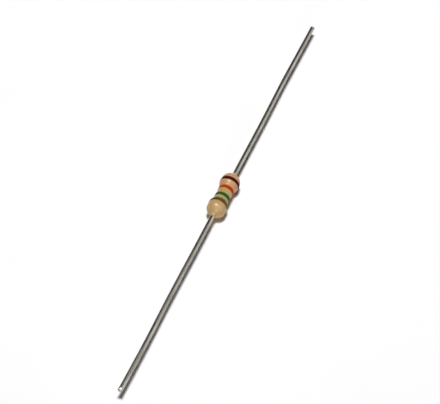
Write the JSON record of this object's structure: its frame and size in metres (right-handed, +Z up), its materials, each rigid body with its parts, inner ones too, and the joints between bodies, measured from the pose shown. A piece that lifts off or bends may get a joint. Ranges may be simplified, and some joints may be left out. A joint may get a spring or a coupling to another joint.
{
  "type": "axial resistor",
  "caption": "Small axial carbon-film resistor: tan dog-bone body with brown, orange, green and gold colour bands, and a straight tinned wire lead at each end.",
  "frame": {"origin": "middle of the body, on the lead axis, which is the centre of the whole part", "axes": "+X along the leads, from the brown-band end towards the gold-band end; +Z up"},
  "size_m": [0.0624, 0.0024, 0.0024],
  "materials": {
    "ceramic": "matte",
    "carbon_film": "satin",
    "plated_steel_cap": "satin",
    "tinned_wire": "satin",
    "tan_lacquer": "satin",
    "brown_ink": "satin",
    "orange_ink": "satin",
    "green_ink": "satin",
    "gold_ink": "satin"
  },
  "bodies": {
    "root": {"ceramic_rod": "ceramic", "carbon_film": "carbon_film", "end_cap_brown_end": "plated_steel_cap", "end_cap_gold_end": "plated_steel_cap", "lead_brown_end": "tinned_wire", "lead_gold_end": "tinned_wire", "lacquer_coat": "tan_lacquer", "band_brown": "brown_ink", "band_orange": "orange_ink", "band_green": "green_ink", "band_gold": "gold_ink"}
  },
  "joints": []
}
